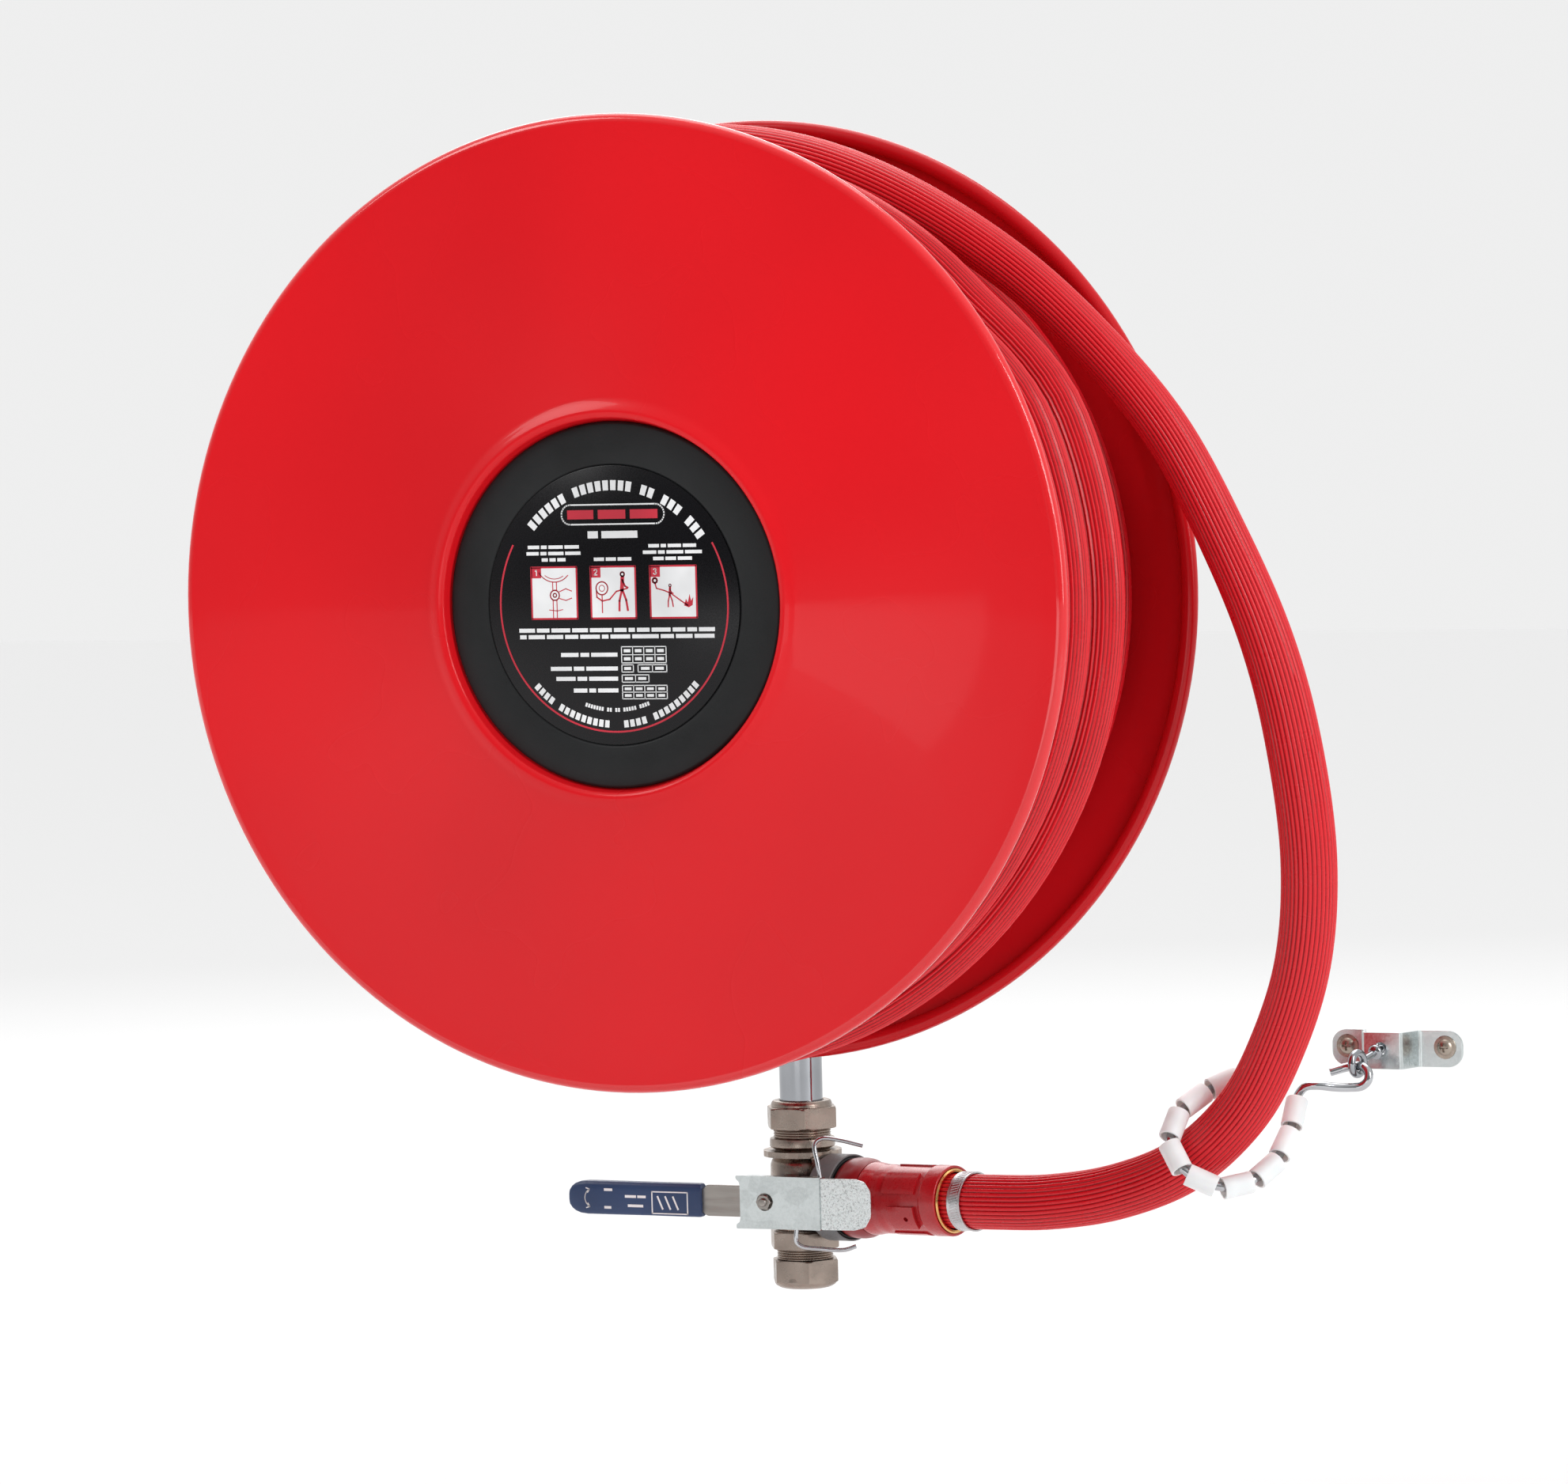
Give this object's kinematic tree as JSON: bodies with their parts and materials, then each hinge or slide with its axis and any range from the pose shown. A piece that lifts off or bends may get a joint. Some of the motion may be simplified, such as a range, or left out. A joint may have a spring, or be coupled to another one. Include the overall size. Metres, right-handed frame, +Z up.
{
  "type": "fire hose reel",
  "caption": "Wall-mounted red drum of ribbed hose on a water-fed spindle, with lever stop valve, hose nozzle in its holder, and a roller guide ring on a wall bracket.",
  "frame": {"origin": "centre of the wall plate's back face, on the wall and on the drum's axis", "axes": "+Z up, +Y out of the back into the wall, along the axis that the drum turns on, and +X to the side where the hose runs down"},
  "size_m": [0.7355, 0.3093, 0.7519],
  "materials": {
    "red_paint": "gloss red paint",
    "red_hose": "ribbed red rubber, satin",
    "plain_steel": "satin steel",
    "chrome": "polished",
    "nickel": "satin nickel plate",
    "brass": "machined brass",
    "zinc_plate": "spangled zinc plate",
    "seat_plastic": "smooth",
    "black_rubber": "matt",
    "black_plastic": "fine grained",
    "label": "satin printed film",
    "blue_sleeve": "soft vinyl",
    "red_plastic": "moulded, semi gloss",
    "dark_red_plastic": "moulded, semi gloss",
    "grey_plastic": "moulded",
    "white_plastic": "moulded, smooth"
  },
  "bodies": {
    "frame": {"wall_plate": "red_paint", "inlet_elbow": "brass", "fixed_spindle": "plain_steel", "flange_bolt_left": "plain_steel", "flange_bolt_right": "plain_steel", "spindle_nut": "plain_steel", "inlet_pipe": "chrome", "pipe_nut": "nickel", "valve_body": "nickel", "supply_nut": "nickel", "gland_nut": "nickel", "ball_seat_upper": "seat_plastic", "ball_seat_lower": "seat_plastic", "cradle_bracket": "zinc_plate", "cradle_cup": "grey_plastic", "cradle_lining": "black_rubber", "cradle_wire_upper": "chrome", "cradle_wire_lower": "chrome", "nozzle_body": "red_plastic", "nozzle_ferrule": "brass", "nozzle_clip": "plain_steel", "free_hose": "red_hose", "guide_bracket": "zinc_plate", "guide_screw_left": "plain_steel", "guide_screw_right": "plain_steel"},
    "drum": {"front_disc": "red_paint", "rear_disc": "red_paint", "drum_barrel": "red_paint", "swivel_hub": "brass", "hub_bush_rear": "brass", "hub_bush_front": "brass", "swivel_seal_rear": "black_rubber", "swivel_seal_front": "black_rubber", "outlet_elbow": "brass", "hose_lead": "red_hose", "lead_clip": "plain_steel", "wound_hose_inner": "red_hose", "wound_hose_outer": "red_hose", "hub_cap": "black_plastic", "cap_label": "label"},
    "valve_lever": {"valve_ball": "chrome", "valve_stem": "brass", "lever_strip": "plain_steel", "lever_sleeve": "blue_sleeve", "lever_nut": "plain_steel", "interlock_plate": "zinc_plate"},
    "nozzle_twist": {"nozzle_head": "dark_red_plastic", "nozzle_bumper": "black_rubber"},
    "guide": {"swivel_eye": "chrome", "guide_ring": "chrome"},
    "roller_01": {"guide_roller_01": "white_plastic"},
    "roller_02": {"guide_roller_02": "white_plastic"},
    "roller_03": {"guide_roller_03": "white_plastic"},
    "roller_04": {"guide_roller_04": "white_plastic"},
    "roller_05": {"guide_roller_05": "white_plastic"},
    "roller_06": {"guide_roller_06": "white_plastic"},
    "roller_07": {"guide_roller_07": "white_plastic"},
    "roller_08": {"guide_roller_08": "white_plastic"},
    "roller_09": {"guide_roller_09": "white_plastic"},
    "roller_10": {"guide_roller_10": "white_plastic"}
  },
  "joints": [
    {"name": "drum_turn", "type": "hinge", "parent": "frame", "child": "drum", "pos_m": [0, -0.18, 0], "axis": [0, -1, 0], "continuous": true},
    {"name": "valve_turn", "type": "hinge", "parent": "frame", "child": "valve_lever", "pos_m": [0, -0.05, -0.3902], "axis": [0, -1, 0], "range_deg": [0, 90]},
    {"name": "nozzle_turn", "type": "hinge", "parent": "frame", "child": "nozzle_twist", "pos_m": [0.047, -0.065, -0.3915], "axis": [0.971, -0.2375, 0.0287], "range_deg": [0, 90]},
    {"name": "guide_swing", "type": "hinge", "parent": "frame", "child": "guide", "pos_m": [0.3874, -0.019, -0.2938], "axis": [0, 0, 1], "range_deg": [-2, 2]},
    {"name": "roller_01_spin", "type": "hinge", "parent": "guide", "child": "roller_01", "pos_m": [0.34837, -0.07047, -0.32973], "axis": [0.0226, -0.6128, -0.7899], "continuous": true},
    {"name": "roller_02_spin", "type": "hinge", "parent": "guide", "child": "roller_02", "pos_m": [0.34739, -0.08519, -0.34728], "axis": [-0.1486, -0.6824, -0.7157], "continuous": true},
    {"name": "roller_03_spin", "type": "hinge", "parent": "guide", "child": "roller_03", "pos_m": [0.34118, -0.10151, -0.36193], "axis": [-0.4395, -0.736, -0.515], "continuous": true},
    {"name": "roller_04_spin", "type": "hinge", "parent": "guide", "child": "roller_04", "pos_m": [0.32757, -0.11783, -0.36984], "axis": [-0.7337, -0.6616, -0.1548], "continuous": true},
    {"name": "roller_05_spin", "type": "hinge", "parent": "guide", "child": "roller_05", "pos_m": [0.3086, -0.12881, -0.36618], "axis": [-0.858, -0.2907, 0.4234], "continuous": true},
    {"name": "roller_06_spin", "type": "hinge", "parent": "guide", "child": "roller_06", "pos_m": [0.29184, -0.12956, -0.3517], "axis": [-0.5402, 0.2451, 0.8051], "continuous": true},
    {"name": "roller_07_spin", "type": "hinge", "parent": "guide", "child": "roller_07", "pos_m": [0.28705, -0.11839, -0.33327], "axis": [0.0889, 0.6598, 0.7462], "continuous": true},
    {"name": "roller_08_spin", "type": "hinge", "parent": "guide", "child": "roller_08", "pos_m": [0.29423, -0.10204, -0.31943], "axis": [0.4936, 0.7356, 0.4639], "continuous": true},
    {"name": "roller_09_spin", "type": "hinge", "parent": "guide", "child": "roller_09", "pos_m": [0.30691, -0.08532, -0.31014], "axis": [0.6202, 0.713, 0.3271], "continuous": true},
    {"name": "roller_10_spin", "type": "hinge", "parent": "guide", "child": "roller_10", "pos_m": [0.32377, -0.07066, -0.30725], "axis": [0.842, 0.5232, -0.1314], "continuous": true}
  ]
}
